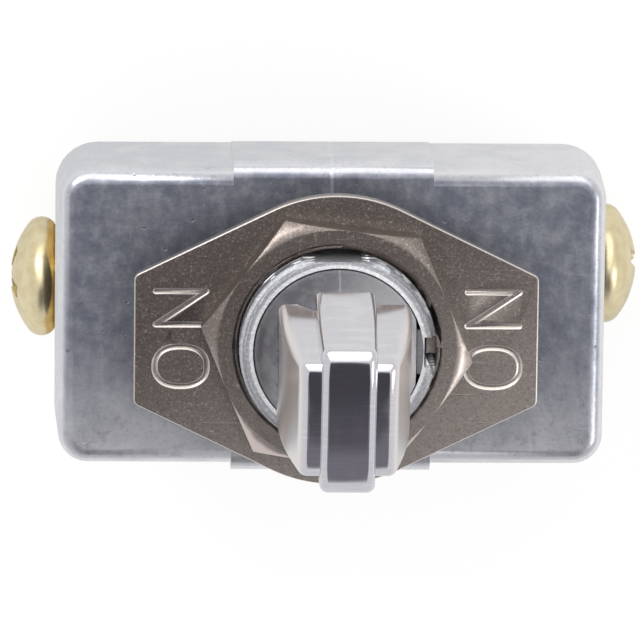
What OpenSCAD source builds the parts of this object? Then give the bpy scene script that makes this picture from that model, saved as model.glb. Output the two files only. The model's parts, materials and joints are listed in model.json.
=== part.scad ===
// Heavy-duty panel toggle switch, single pole, on-off-on, in a die-cast housing.
// Frame: origin on the bushing axis at the housing's front face, +Z out of the panel,
// X along the housing. The lever is drawn thrown towards -Y, where it rests.

/* [Housing] */
// Length of the housing at its front face
case_l = 33.4; // [31:0.1:38]
// Height of the housing at its front face
case_h = 18.4; // [17:0.1:21]
// Depth of the metal housing behind its front face
case_d = 7.2; // [6.8:0.1:8.4]
// How far each long wall leans out from front to rear
case_flare = 0.38; // [0:0.02:0.44]
// How far each end wall leans out from front to rear
end_flare = 0.2; // [0:0.05:0.5]
// Rounding of the edge around the front face
front_edge_r = 1.0; // [0.4:0.1:1.4]
// Corner radius of the front face
front_corner_r = 1.8; // [1.5:0.1:3]
// Corner radius of the rear rim
rear_corner_r = 2.6; // [1.8:0.1:3.4]
// Thickness of the side walls at the front
wall = 1.3; // [1:0.1:1.5]
// Thickness of the front wall
front_wall = 1.6; // [1.2:0.1:2.2]
// Length of the raised pad in the middle of each long wall
pad_l = 12.2; // [8:0.1:16]
// Height of the raised pad above its wall
pad_h = 0.45; // [0.2:0.05:0.8]
// Diameter of the small locating pip on the front face
pip_d = 1.8; // [1:0.1:2.4]
// Height of the locating pip
pip_h = 0.4; // [0.2:0.05:0.8]
// Distance of the locating pip from the bushing axis
pip_x = 11.3; // [10:0.1:13]
// Radius of the two screw bosses inside the housing
boss_r = 2.2; // [1.9:0.1:2.4]

/* [Bushing] */
// Thread diameter of the bushing, 15/32 inch
thread_d = 11.906; // [11.5:0.002:12.3]
// Length of the bushing in front of the housing
bush_l = 10; // [9.2:0.1:12]
// Depth of the two flats that run along the thread
flat_depth = 0.45; // [0.1:0.05:0.5]
// Height above the housing where the flats and the draft begin
flat_start = 3.2; // [2:0.1:5]
// Draft of the bushing: how much its radius shrinks from there to the rim
bush_draft = 0.03; // [0.01:0.01:0.1]
// Width of the keyway
key_w = 1.85; // [1.2:0.05:2.2]
// Depth of the keyway
key_depth = 0.8; // [0.4:0.05:0.9]
// Thickness of the wall left behind the keyway
key_wall = 0.42; // [0.3:0.02:0.6]
// Chamfer around the end of the thread
rim_chamfer = 0.35; // [0.1:0.05:0.5]

/* [Lever] */
// Radius of the lever's ball
ball_r = 5.25; // [5:0.01:5.3]
// Clearance between the ball and its seat
ball_clear = 0.06; // [0.03:0.01:0.1]
// Height of the ball's centre above the housing
pivot_z = 8.6; // [8.2:0.1:9]
// Swing of the lever to each side of the middle
throw_deg = 12.5; // [10:0.5:14]
// Distance from the ball's centre to the tip
tip_s = 11.2; // [9:0.1:16]
// Half width of the lever's flanks where they leave the ball
flank_root_w = 3.9; // [3.4:0.05:4.2]
// Half width of the flanks at the tip
flank_tip_w = 2.8; // [2.2:0.05:3.6]
// Half height of the flanks where they leave the ball
flank_root_h = 3.95; // [3.2:0.05:4.2]
// Half height of the flanks at the tip
flank_tip_h = 3.7; // [2.8:0.05:4.2]
// Half width of the middle rib at the root
rib_root_w = 1.85; // [1.2:0.05:2.4]
// Half width of the middle rib at the tip
rib_tip_w = 1.62; // [1:0.02:2.2]
// Half height of the middle rib at the root
rib_root_h = 4.85; // [4.2:0.05:4.9]
// Half height of the middle rib at the tip
rib_tip_h = 4.7; // [4:0.05:4.9]
// Shift of the bat from the ball's centre, toward the keyway
bat_shift = 0.3; // [0:0.05:0.5]
// Rounding of the middle rib's nose
rib_nose_r = 0.85; // [0.5:0.05:1.2]
// Radius of the stem below the ball
stem_r = 2.7; // [2.4:0.05:3]
// Distance from the ball's centre to the stem's lower end
stem_s = 13.5; // [12.5:0.1:14]

/* [Contacts] */
// Height of the rocker's pivot, below the housing's front face
rocker_z = -11.6; // [-12:0.1:-11.2]
// Tilt of the rocker to each side of the middle
rocker_deg = 9; // [6:0.5:9.5]
// Half length of the rocker
rocker_half_l = 5.9; // [5.5:0.05:6]
// Width of the rocker
rocker_w = 5.4; // [4.8:0.1:5.8]
// Thickness of the copper strip
strip_t = 0.8; // [0.6:0.05:0.9]
// Thickness of the brass terminals
term_t = 0.8; // [0.6:0.05:1]
// Distance of each contact from the rocker's pivot
contact_y = 4.8; // [4.6:0.05:4.95]
// Distance of each contact from the middle of the rocker
contact_x = 1.35; // [1:0.05:1.6]
// Radius of the silver contacts
contact_r = 0.95; // [0.7:0.05:1]
// Radius of the plunger's body
plunger_r = 1.75; // [1.5:0.05:1.9]
// Radius of the plunger's round nose
nose_r = 1.1; // [0.8:0.05:1.3]
// Travel of the plunger into the stem
plunger_travel = 0.5; // [0.2:0.05:0.6]
// Wire diameter of the plunger's spring
wire_d = 0.4; // [0.25:0.05:0.5]
// Number of turns of the spring
spring_turns = 9; // [6:1:12]

/* [Base] */
// Length of the moulded base behind the housing
base_l = 32; // [30:0.1:36]
// Height of the moulded base
base_h = 13.4; // [12.9:0.1:14.2]
// Height of the base's rear face, below the housing's front face
base_z = -20.5; // [-22:0.1:-20.4]
// Thickness of the fibre insulator
fibre_t = 0.5; // [0.3:0.05:0.8]
// Top of the base's plug inside the housing
plug_top_z = -6; // [-6.6:0.1:-5.6]
// Height of the end terminal screws, below the housing's front face
screw_z = -15.2; // [-15.4:0.1:-15]
// Shift of each end screw to its side of the long axis
screw_stagger = 0.5; // [0:0.05:0.7]

/* [Screws] */
// Thread diameter of the terminal screws, number 8
term_screw_d = 4.16; // [3.8:0.02:4.2]
// Head diameter of the terminal screws
term_head_d = 7.5; // [6.6:0.1:7.6]
// Head height of the terminal screws
term_head_h = 2.85; // [2.2:0.05:2.9]
// Span of the cross recess in the terminal screw heads
recess_d = 4.8; // [4:0.1:5.4]
// Width of the recess's wings
wing_w = 0.9; // [0.7:0.05:1.1]
// Thread diameter of the two case screws
case_screw_d = 2.3; // [2:0.1:2.6]
// Head diameter of the two case screws
case_head_d = 4.4; // [3.8:0.1:4.8]

/* [Nuts and plate] */
// Width across flats of the two nuts, 9/16 inch
nut_af = 14.29; // [13.8:0.01:15]
// Thickness of the face nut
nut_t = 2.0; // [1.6:0.05:2.6]
// Turn of the face nut about the bushing
nut_turn = -7.2; // [-30:0.1:30]
// Turn of the back nut about the bushing
back_nut_turn = 18; // [-30:0.1:30]
// Thickness of the back nut
back_nut_t = 1.9; // [1.6:0.05:2.4]
// Thickness of the face plate
plate_t = 0.9; // [0.6:0.05:1.2]
// Length of the face plate
plate_l = 24.4; // [20:0.1:28]
// Height of the face plate's straight ends
plate_end_h = 7.9; // [5:0.1:10]
// Diameter of the face plate's round middle
plate_d = 17.8; // [16:0.1:19]
// Height of the face plate above the housing
plate_z = 5.7; // [5.2:0.1:6.2]
// Thickness of the lock washer
washer_t = 0.5; // [0.3:0.05:0.8]
// Outer diameter of the lock washer
washer_d = 15.6; // [14.5:0.1:16.4]
// Number of teeth on the lock washer
washer_teeth = 12; // [8:1:16]

/* [Hidden] */
$fn = 64;
hull_fn = 32;
seat_gap = 0.05;
far = 60;
thread_r = thread_d / 2;
bore_r = ball_r + ball_clear;
back_nut_z = plate_z - washer_t - back_nut_t;
nut_z = plate_z + plate_t;
half_l = case_l / 2;
half_h = case_h / 2;
flat_y = thread_r - flat_depth;
key_floor = thread_r - key_depth;
key_inner = key_floor - key_wall;
lever_lean = [throw_deg, 0, 0];

// plunger and rocker: the nose's path over the rocker, from the middle to full throw
hollow_s = 4;
rocker_top = 1.8;
nose_gap = 0.1;
nose_s = pivot_z - rocker_z - rocker_top - nose_r - nose_gap;
nose_start_z = rocker_top + nose_r + nose_gap;
nose_world_y = nose_s * sin(throw_deg);
nose_world_z = pivot_z - rocker_z - nose_s * cos(throw_deg);
nose_end_y = nose_world_y * cos(rocker_deg) - nose_world_z * sin(rocker_deg);
nose_end_z = nose_world_y * sin(rocker_deg) + nose_world_z * cos(rocker_deg);
nose_rise = nose_end_z - nose_start_z;
path_r = (nose_end_y * nose_end_y + nose_rise * nose_rise) / (2 * nose_rise);
dish_r = path_r + nose_r + nose_gap;
dish_z = nose_start_z + path_r;
wing_y = 3.5;
wing_z = dish_z - sqrt(pow(dish_r + strip_t, 2) - wing_y * wing_y);
button_t = 0.45;
button_low_z = (wing_z - button_t) * cos(rocker_deg) - (contact_y + contact_r) * sin(rocker_deg);
contact_top_z = rocker_z + button_low_z - seat_gap;
fixed_button_t = 0.5;
arm_top_z = contact_top_z - fixed_button_t;
arm_low_z = arm_top_z - term_t;
contact_world_y = contact_y * cos(rocker_deg) + (wing_z - button_t) * sin(rocker_deg);
ear_t = 0.65;
ear_r = 1.0;
pin_r = 0.5;
post_w = rocker_w - 2 * ear_t - 0.3;
post_r = 0.9;

// base, its pocket and what is set into it
plug_l = case_l - 2 * wall - 0.4;
plug_h = case_h - 2 * wall - 0.4;
pocket_l = 18;
ear_gap = 1.2;
well_h = 4.6;
pocket_h = 2 * rocker_half_l + 1.0;
ledge_z = arm_low_z;
step_z = ledge_z - 0.9;
arm_w = 2.2;
arm_outer_y = contact_world_y + arm_w / 2;
common_t = term_t;
common_top_z = ledge_z - 0.9;
common_low_z = common_top_z - common_t;
common_w = 3.6;
common_screw_z = common_low_z - 0.3 - term_screw_d / 2;
end_plate_w = 8.6;
end_plate_lap = 3.9;
end_plate_h = arm_top_z - screw_z + end_plate_lap;
shank_l = 5;
boss_inset = 0.8;
case_screw_x = half_l - wall - boss_r - boss_inset;
case_screw_y = (base_h - case_head_d) / 2 - 0.6;
case_head_h = 1.3;
boss_low_z = plug_top_z + fibre_t;
boss_bore_top = -2.8;
head_face_x = base_l / 2 + term_t;
left_recess_turn = 70;
right_recess_turn = 66;
common_recess_turn = 30;

// Points of an outline whose corners are rounded: each corner is [x, y, radius].
function unit(v) = v / norm(v);
function corner_arc(a, p, b, r, n = 8) =
    let (u = unit([a.x - p.x, a.y - p.y]))
    let (v = unit([b.x - p.x, b.y - p.y]))
    let (half = acos(u * v) / 2)
    let (centre = [p.x, p.y] + unit(u + v) * r / sin(half))
    let (start = [p.x, p.y] + u * r / tan(half) - centre)
    let (turn = (u.x * v.y - u.y * v.x > 0 ? -1 : 1) * (180 - 2 * half))
    [for (i = [0 : n])
        let (t = turn * i / n)
        centre + [start.x * cos(t) - start.y * sin(t), start.x * sin(t) + start.y * cos(t)]];
function rounded_outline(corners) =
    let (n = len(corners))
    [for (i = [0 : n - 1])
        each corner_arc(corners[(i + n - 1) % n], corners[i], corners[(i + 1) % n], corners[i].z)];

// Angle from the x axis to the point where a line from p touches a circle of radius r.
function tangent_angle(p, r) = atan2(p.y, p.x) + acos(r / norm(p));

module rounded_block(l, h, z0, z1, r) {
    translate([0, 0, z0])
        linear_extrude(z1 - z0)
            polygon(rounded_outline([[-l / 2, -h / 2, r], [l / 2, -h / 2, r],
                                     [l / 2, h / 2, r], [-l / 2, h / 2, r]]));
}

module at_corners(x, y) {
    for (sx = [-1, 1], sy = [-1, 1])
        translate([sx * x, sy * y, 0])
            children();
}

// ---------- housing ----------
module case_skin() {
    hull() {
        at_corners(half_l - front_corner_r, half_h - front_corner_r)
            translate([0, 0, -front_edge_r])
                rotate_extrude($fn = hull_fn)
                    translate([front_corner_r - front_edge_r, 0])
                        intersection() {
                            circle(front_edge_r, $fn = hull_fn);
                            translate([0, -front_edge_r])
                                square(2 * front_edge_r);
                        }
        at_corners(half_l + end_flare - rear_corner_r, half_h + case_flare - rear_corner_r)
            translate([0, 0, -case_d])
                cylinder(r = rear_corner_r, h = 0.4, $fn = hull_fn);
    }
}

// The pads stand straight, so the leaning walls are almost level with them at the rear.
module case_pads() {
    pad_y = half_h + pad_h;
    hull() {
        for (s = [-1, 1])
            translate([-pad_l / 2, s * (pad_y - front_edge_r), -front_edge_r])
                rotate([0, 90, 0])
                    cylinder(r = front_edge_r, h = pad_l, $fn = hull_fn);
        translate([-pad_l / 2, -pad_y, -case_d])
            cube([pad_l, 2 * pad_y, 0.4]);
    }
}

module bushing_blank() {
    rim_r = thread_r - bush_draft;
    rotate_extrude()
        polygon([[0, -front_wall], [thread_r, -front_wall], [thread_r, flat_start],
                 [rim_r, bush_l - rim_chamfer], [rim_r - rim_chamfer, bush_l], [0, bush_l]]);
}

module bushing_bore() {
    translate([0, 0, -case_d])
        cylinder(r = bore_r, h = case_d + pivot_z);
    translate([0, 0, pivot_z])
        sphere(bore_r);
}

module bushing_flats() {
    for (s = [-1, 1])
        translate([-far / 2, s > 0 ? flat_y : -flat_y - far, flat_start])
            cube([far, far, far]);
}

module key_bulge() {
    intersection() {
        translate([key_inner, -key_w / 2 - key_wall, -front_wall])
            cube([thread_r - key_inner - rim_chamfer, key_w + 2 * key_wall, bush_l + front_wall - 0.2]);
        cylinder(r = thread_r, h = far, center = true);
    }
}

module keyway() {
    translate([key_floor, -key_w / 2, 0])
        cube([far, key_w, far]);
}

module housing() {
    color("gainsboro")
    difference() {
        union() {
            difference() {
                union() {
                    case_skin();
                    case_pads();
                    bushing_blank();
                    translate([-pip_x, -0.45, -0.5])
                        cylinder(d = pip_d, h = pip_h + 0.5);
                }
                rounded_block(case_l - 2 * wall, case_h - 2 * wall, -case_d - 1, -front_wall, 1.2);
                bushing_bore();
                bushing_flats();
            }
            key_bulge();
            for (s = [-1, 1])
                translate([s * case_screw_x, -s * case_screw_y, boss_low_z])
                    cylinder(r = boss_r, h = -boss_low_z - front_wall + 0.2);
        }
        keyway();
        for (s = [-1, 1])
            translate([s * case_screw_x, -s * case_screw_y, -case_d])
                cylinder(d = case_screw_d + 2 * seat_gap, h = case_d + boss_bore_top + 0.1);
    }
}

// ---------- lever ----------
// Corners of one rounded section of the bat, at distance s along the lever's axis.
module bat_section(w, h, s, r) {
    at_corners(w - r, h - r)
        translate([0, 0, s])
            sphere(r, $fn = hull_fn / 2);
}

module flanks() {
    mid_s = tip_s * 0.6;
    mid_w = flank_root_w + (flank_tip_w - flank_root_w) * 0.42;
    edge_r = 0.5;
    hull() {
        bat_section(flank_root_w, flank_root_h, 2.2, edge_r);
        bat_section(mid_w, (flank_root_h + flank_tip_h) / 2, mid_s, edge_r);
        bat_section(flank_tip_w, flank_tip_h, tip_s - 0.45 - edge_r, edge_r);
    }
}

module middle_rib() {
    edge_r = 0.4;
    nose_w = rib_nose_r - edge_r;
    hull() {
        bat_section(rib_root_w, rib_root_h, 1.6, 0.25);
        for (a = [0, 30, 60, 90])
            bat_section(rib_tip_w, rib_tip_h - nose_w * (1 - cos(a)),
                        tip_s - edge_r - nose_w * (1 - sin(a)), edge_r);
    }
}

// The bat's root is cut back so that it clears the bushing's rim at full throw.
module bat() {
    rim_clear = bush_l - pivot_z + 0.15;
    difference() {
        union() {
            flanks();
            middle_rib();
        }
        for (s = [-1, 1])
            rotate([s * throw_deg, 0, 0])
                translate([-far / 2, -far / 2, rim_clear - far])
                    cube(far);
    }
}

module lever_ball() {
    intersection() {
        sphere(ball_r);
        translate([-far, -far / 2, -far / 2])
            cube([far + key_inner - 0.1, far, far]);
    }
}

module lever() {
    color("silver")
    translate([0, 0, pivot_z])
        rotate(lever_lean)
            difference() {
                union() {
                    lever_ball();
                    translate([bat_shift, 0, 0])
                        bat();
                    translate([0, 0, -stem_s])
                        cylinder(r = stem_r, h = stem_s);
                }
                translate([0, 0, -stem_s - 1])
                    cylinder(r = plunger_r + seat_gap, h = stem_s + 1 - hollow_s);
            }
}

// ---------- plunger and its spring ----------
plunger_low_s = nose_s - 1.0;
plunger_top_s = 9;
plunger_floor_s = plunger_low_s - 0.4;
plunger_wall = 0.5;
spring_gap = 0.1;
spring_r = plunger_r - plunger_wall - wire_d / 2 - spring_gap;
spring_top_s = hollow_s + wire_d / 2;
spring_low_s = plunger_floor_s - plunger_travel - spring_gap - wire_d / 2;

module plunger() {
    color("black")
    translate([0, 0, pivot_z])
        rotate(lever_lean)
            difference() {
                union() {
                    translate([0, 0, -plunger_low_s])
                        cylinder(r = plunger_r, h = plunger_low_s - plunger_top_s);
                    translate([0, 0, -nose_s])
                        cylinder(r = nose_r, h = nose_s - plunger_low_s + 0.5);
                    translate([0, 0, -nose_s])
                        sphere(nose_r);
                }
                translate([0, 0, -plunger_floor_s])
                    cylinder(r = plunger_r - plunger_wall, h = far);
            }
}

// A coil swept as rings of points along a helix, closed by a cap at each end.
module coil(r, wire_r, low, high, turns, steps = 14, sides = 6) {
    n = turns * steps;
    pitch_angle = atan2((high - low) / turns, 360 * r * PI / 180);
    points = [for (i = [0 : n], j = [0 : sides - 1])
        let (a = 360 * i / steps)
        let (b = 360 * j / sides)
        let (out = r + wire_r * cos(b))
        let (up = wire_r * sin(b) * cos(pitch_angle))
        let (back = -wire_r * sin(b) * sin(pitch_angle))
        [out * cos(a) - back * sin(a), out * sin(a) + back * cos(a), low + (high - low) * i / n + up]];
    walls = [for (i = [0 : n - 1], j = [0 : sides - 1])
        let (k = (j + 1) % sides)
        let (low_left = i * sides + j)
        let (low_right = i * sides + k)
        each [[low_left, low_right, low_right + sides], [low_left, low_right + sides, low_left + sides]]];
    first_cap = [for (j = [1 : sides - 2]) [0, j + 1, j]];
    last_cap = [for (j = [1 : sides - 2]) [n * sides, n * sides + j, n * sides + j + 1]];
    polyhedron(points, concat(walls, first_cap, last_cap), convexity = 10);
}

module plunger_spring() {
    color("dimgray")
    translate([0, 0, pivot_z])
        rotate(lever_lean)
            coil(spring_r, wire_d / 2, -spring_low_s, -spring_top_s, spring_turns);
}

// ---------- rocker and its contacts ----------
module in_rocker() {
    translate([0, 0, rocker_z])
        rotate([-rocker_deg, 0, 0])
            children();
}

// Side view of the dished strip, drawn in the plane across the pivot.
module rocker_profile() {
    intersection() {
        difference() {
            translate([0, dish_z])
                circle(dish_r + strip_t, $fn = 96);
            translate([0, dish_z])
                circle(dish_r, $fn = 96);
        }
        translate([-wing_y - 0.1, 0])
            square([2 * wing_y + 0.2, dish_z]);
    }
    for (s = [0, 1])
        mirror([s, 0])
            translate([wing_y - 0.1, wing_z])
                square([rocker_half_l - wing_y + 0.1, strip_t]);
}

module rocker() {
    color("peru")
    in_rocker() {
        difference() {
            union() {
                translate([-rocker_w / 2, 0, 0])
                    rotate([90, 0, 90])
                        linear_extrude(rocker_w)
                            rocker_profile();
                for (s = [0, 1])
                    mirror([s, 0, 0])
                        translate([rocker_w / 2 - ear_t, 0, 0]) {
                            rotate([0, 90, 0])
                                cylinder(r = ear_r, h = ear_t);
                            translate([0, -ear_r, 0])
                                cube([ear_t, 2 * ear_r, rocker_top - strip_t / 2]);
                        }
            }
            rotate([0, 90, 0])
                cylinder(r = pin_r + 0.03, h = far, center = true);
        }
    }
}

module rocker_pin() {
    color("silver")
    translate([0, 0, rocker_z])
        rotate([0, 90, 0])
            cylinder(r = pin_r, h = rocker_w + 0.4, center = true);
}

module moving_contact(side) {
    color("whitesmoke")
    in_rocker()
        translate([side * contact_x, side * contact_y, wing_z - button_t])
            cylinder(r = contact_r, h = button_t);
}

// ---------- terminals ----------
module fixed_contact(side) {
    color("whitesmoke")
    translate([side * contact_x, side * contact_world_y, arm_top_z])
        cylinder(r = contact_r, h = fixed_button_t);
}

// The end terminals are one part used twice, turned half round.
module end_terminal(turn) {
    color("goldenrod")
    rotate([0, 0, turn])
        difference() {
            union() {
                translate([contact_x - contact_r - 0.3, contact_world_y - arm_w / 2, arm_low_z])
                    cube([head_face_x - contact_x + contact_r + 0.3, arm_w, term_t]);
                translate([base_l / 2, screw_stagger - end_plate_w / 2, arm_top_z - end_plate_h])
                    cube([term_t, end_plate_w / 2 - screw_stagger + arm_outer_y, end_plate_h]);
            }
            translate([base_l / 2 - 1, screw_stagger, screw_z])
                rotate([0, 90, 0])
                    cylinder(d = term_screw_d + 2 * seat_gap, h = 3);
        }
}

module common_terminal() {
    wall_y = -base_h / 2;
    plate_h = common_top_z - base_z - 0.3;
    color("goldenrod")
    difference() {
        union() {
            translate([-common_w / 2, wall_y - term_t, common_low_z])
                cube([common_w, -wall_y + term_t + post_r, common_t]);
            translate([-end_plate_w / 2, wall_y - term_t, base_z + 0.3])
                cube([end_plate_w, term_t, plate_h]);
            translate([-post_w / 2, -post_r, common_low_z])
                cube([post_w, 2 * post_r, rocker_z - common_low_z]);
            translate([-post_w / 2, 0, rocker_z])
                rotate([0, 90, 0])
                    cylinder(r = post_r, h = post_w);
        }
        translate([0, 0, rocker_z])
            rotate([0, 90, 0])
                cylinder(r = pin_r + 0.02, h = far, center = true);
        translate([0, wall_y + 1, common_screw_z])
            rotate([90, 0, 0])
                cylinder(d = term_screw_d + 2 * seat_gap, h = 3);
    }
}

// ---------- base and insulator ----------
// A block that fills the housing and goes on behind it as far as the contacts need, and a
// narrower one that carries the terminals.
module base_body() {
    rounded_block(base_l, base_h, base_z, -case_d, 1.6);
    rounded_block(plug_l, plug_h, step_z, plug_top_z, 1.0);
}

module end_cuts(turn) {
    plate_y = screw_stagger - end_plate_w / 2;
    rotate([0, 0, turn]) {
        translate([base_l / 2, plate_y - seat_gap, arm_top_z - end_plate_h - seat_gap])
            cube([far, arm_outer_y - plate_y + 2 * seat_gap, end_plate_h + 2 * seat_gap]);
        translate([0, contact_world_y - arm_w / 2 - seat_gap, arm_low_z])
            cube([far, arm_w + 2 * seat_gap, term_t + seat_gap]);
        translate([base_l / 2 + term_t - shank_l - 1.5, screw_stagger, screw_z])
            rotate([0, 90, 0])
                cylinder(d = term_screw_d + 0.4, h = far);
    }
}

module base() {
    color("#2b2522")
    difference() {
        base_body();
        rounded_block(pocket_l, pocket_h, ledge_z, 0, 1.2);
        rounded_block(common_w + 2 * ear_gap, well_h, common_low_z, ledge_z + 1, 0.6);
        translate([-common_w / 2 - seat_gap, -far, common_low_z])
            cube([common_w + 2 * seat_gap, far, common_t + seat_gap]);
        translate([0, -base_h / 2 - term_t + shank_l + 1.5, common_screw_z])
            rotate([90, 0, 0])
                cylinder(d = term_screw_d + 0.4, h = far);
        translate([0, -base_h / 2 - term_t, common_screw_z])
            rotate([90, 0, 0])
                cylinder(d = term_head_d + 0.4, h = far);
        for (turn = [0, 180]) {
            end_cuts(turn);
            rotate([0, 0, turn]) {
                translate([case_screw_x, -case_screw_y, base_z - 1])
                    cylinder(d = case_screw_d + 0.3, h = far);
                translate([case_screw_x, -case_screw_y, base_z - 1])
                    cylinder(d = case_head_d + 0.4, h = 1 + case_head_h + 0.4);
            }
        }
    }
}

module insulator() {
    color("#7a3b2a")
    difference() {
        rounded_block(plug_l, plug_h, plug_top_z, plug_top_z + fibre_t, 1.0);
        rounded_block(2 * stem_r + 1.4, pocket_h, plug_top_z - 1, 0, 1.5);
        for (s = [-1, 1])
            translate([s * case_screw_x, -s * case_screw_y, plug_top_z - 1])
                cylinder(d = case_screw_d + 0.3, h = 3);
    }
}

// ---------- screws ----------
// A round head: a shallow dome that runs into a rounded rim, both as arcs of one outline.
module round_head(d, h) {
    rim_r = 1.0;
    dome_r = 0.73 * d;
    rim_x = d / 2 - rim_r;
    rim_z = h - dome_r + sqrt(pow(dome_r - rim_r, 2) - pow(rim_x, 2));
    join = atan2(rim_z - h + dome_r, rim_x);
    low = -asin(min(1, rim_z / rim_r));
    steps = 7;
    rotate_extrude()
        polygon(concat(
            [[0, 0], [rim_x + rim_r * cos(low), 0]],
            [for (i = [1 : steps]) let (a = low + (join - low) * i / steps)
                [rim_x + rim_r * cos(a), rim_z + rim_r * sin(a)]],
            [for (i = [1 : steps]) let (a = join + (90 - join) * i / steps)
                [dome_r * cos(a), h - dome_r + dome_r * sin(a)]]));
}

// Two crossed wings that narrow with depth, sunk into a head of height h.
module cross_recess(h) {
    recess_depth = 1.6;
    for (a = [0, 90])
        rotate([90, 0, a])
            linear_extrude(wing_w, center = true)
                polygon([[-recess_d / 2, h + 0.1], [recess_d / 2, h + 0.1],
                         [recess_d / 4, h - recess_depth], [-recess_d / 4, h - recess_depth]]);
}

module terminal_screw(recess_turn) {
    difference() {
        union() {
            round_head(term_head_d, term_head_h);
            translate([0, 0, -shank_l])
                cylinder(d = term_screw_d, h = shank_l + 0.1);
        }
        rotate([0, 0, recess_turn])
            cross_recess(term_head_h);
    }
}

module end_screw(turn, recess_turn) {
    color("khaki")
    rotate([0, 0, turn])
        translate([head_face_x, screw_stagger, screw_z])
            rotate([0, 90, 0])
                terminal_screw(recess_turn);
}

module common_screw() {
    color("khaki")
    translate([0, -base_h / 2 - term_t, common_screw_z])
        rotate([90, 0, 0])
            terminal_screw(common_recess_turn);
}

module case_screw(s) {
    head_z = base_z + 0.4;
    color("silver")
    translate([s * case_screw_x, -s * case_screw_y, 0])
        difference() {
            union() {
                translate([0, 0, head_z])
                    cylinder(d = case_head_d, h = case_head_h);
                translate([0, 0, head_z])
                    cylinder(d = case_screw_d, h = boss_bore_top - head_z - 0.3);
            }
            rotate([0, 0, 35])
                translate([-0.35, -far / 2, head_z - 1])
                    cube([0.7, far, 1.6]);
        }
}

// ---------- nuts, washer and plate ----------
module hex_nut(t, turn, z) {
    corner_r = nut_af / 2 / cos(30);
    drop = (corner_r - nut_af / 2) * tan(30);
    translate([0, 0, z])
        difference() {
            rotate([0, 0, turn])
                cylinder(r = corner_r, h = t, $fn = 6);
            cylinder(r = thread_r + seat_gap, h = far, center = true);
            // 30 degree chamfer that leaves a round face on the nut
            rotate_extrude()
                polygon([[nut_af / 2, t], [corner_r + 1, t - drop - tan(30)], [corner_r + 1, t + 1],
                         [nut_af / 2, t + 1]]);
            translate([0, 0, t - 0.3])
                cylinder(r1 = thread_r + seat_gap, r2 = thread_r + seat_gap + 0.35, h = 0.301);
        }
}

module face_nut() {
    color("rosybrown")
    hex_nut(nut_t, nut_turn, nut_z);
}

module back_nut() {
    color("rosybrown")
    hex_nut(back_nut_t, back_nut_turn, back_nut_z);
}

module lock_washer() {
    tooth_w = 1.5;
    root_r = washer_d / 2 - 1.1;
    color("darkgray")
    translate([0, 0, plate_z - washer_t])
        linear_extrude(washer_t)
            difference() {
                union() {
                    difference() {
                        circle(washer_d / 2);
                        circle(root_r);
                    }
                    for (i = [0 : washer_teeth - 1])
                        rotate(360 * i / washer_teeth)
                            translate([thread_r - 0.1, -tooth_w / 2])
                                square([root_r - thread_r + 0.4, tooth_w]);
                }
                circle(thread_r + seat_gap);
            }
}

module plate_outline() {
    end = [plate_l / 2, plate_end_h / 2];
    a = tangent_angle(end, plate_d / 2);
    touch = [plate_d / 2 * cos(a), plate_d / 2 * sin(a)];
    circle(plate_d / 2);
    polygon(rounded_outline([[end.x, end.y, 0.48], [touch.x, touch.y, 0.01],
                             [-touch.x, touch.y, 0.01], [-end.x, end.y, 0.48],
                             [-end.x, -end.y, 0.48], [-touch.x, -touch.y, 0.01],
                             [touch.x, -touch.y, 0.01], [end.x, -end.y, 0.48]]));
}

module face_plate() {
    tab_w = key_w - 0.3;
    hole_r = thread_r + seat_gap;
    color("rosybrown")
    translate([0, 0, plate_z])
        linear_extrude(plate_t) {
            difference() {
                plate_outline();
                circle(hole_r);
            }
            translate([thread_r - key_depth + 0.25, -tab_w / 2])
                square([key_depth + 0.3, tab_w]);
        }
}

housing();
lever();
face_nut();
face_plate();
lock_washer();
back_nut();
base();
insulator();
plunger();
plunger_spring();
rocker();
rocker_pin();
moving_contact(-1);  // moving_contact_left
moving_contact(1);  // moving_contact_right
common_terminal();
end_terminal(180);  // left_terminal
end_terminal(0);  // right_terminal
fixed_contact(-1);  // left_contact
fixed_contact(1);  // right_contact
end_screw(180, left_recess_turn);  // left_screw
end_screw(0, right_recess_turn);  // right_screw
common_screw();
case_screw(-1);  // left_case_screw
case_screw(1);  // right_case_screw
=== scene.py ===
# %% [markdown]
# # A heavy-duty panel toggle switch
# A toggle switch of this kind is a small machine: a die-cast zinc housing with a threaded
# bushing, a chromed lever that rocks in the bushing on a ball, a nickel face plate and two
# nuts that clamp it to a panel, and a black moulded base that carries the contacts.
# The sizes come from the CAD frame. This lesson gives each piece its softened edges, its
# threads and its finish, and lights it as for a catalogue.

# %% Load the frame
import bmesh
import bpy
import json
import math
from mathutils import Matrix, Vector


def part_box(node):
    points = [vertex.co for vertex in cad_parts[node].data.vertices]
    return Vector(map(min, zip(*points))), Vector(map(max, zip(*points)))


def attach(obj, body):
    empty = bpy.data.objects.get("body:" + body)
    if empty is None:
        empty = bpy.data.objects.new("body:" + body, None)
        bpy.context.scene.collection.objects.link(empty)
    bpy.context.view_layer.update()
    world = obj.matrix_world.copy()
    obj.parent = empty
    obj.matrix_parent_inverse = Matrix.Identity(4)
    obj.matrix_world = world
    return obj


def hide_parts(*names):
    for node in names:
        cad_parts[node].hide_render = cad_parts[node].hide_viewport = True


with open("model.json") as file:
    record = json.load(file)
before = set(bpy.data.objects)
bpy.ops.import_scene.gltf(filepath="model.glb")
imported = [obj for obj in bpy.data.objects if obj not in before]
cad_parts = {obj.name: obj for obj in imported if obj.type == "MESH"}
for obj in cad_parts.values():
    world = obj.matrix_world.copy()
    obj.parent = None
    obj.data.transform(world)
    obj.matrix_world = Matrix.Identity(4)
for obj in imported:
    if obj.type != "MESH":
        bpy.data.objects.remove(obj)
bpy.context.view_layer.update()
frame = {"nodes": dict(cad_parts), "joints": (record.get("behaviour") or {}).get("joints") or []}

MM = 0.001

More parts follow.
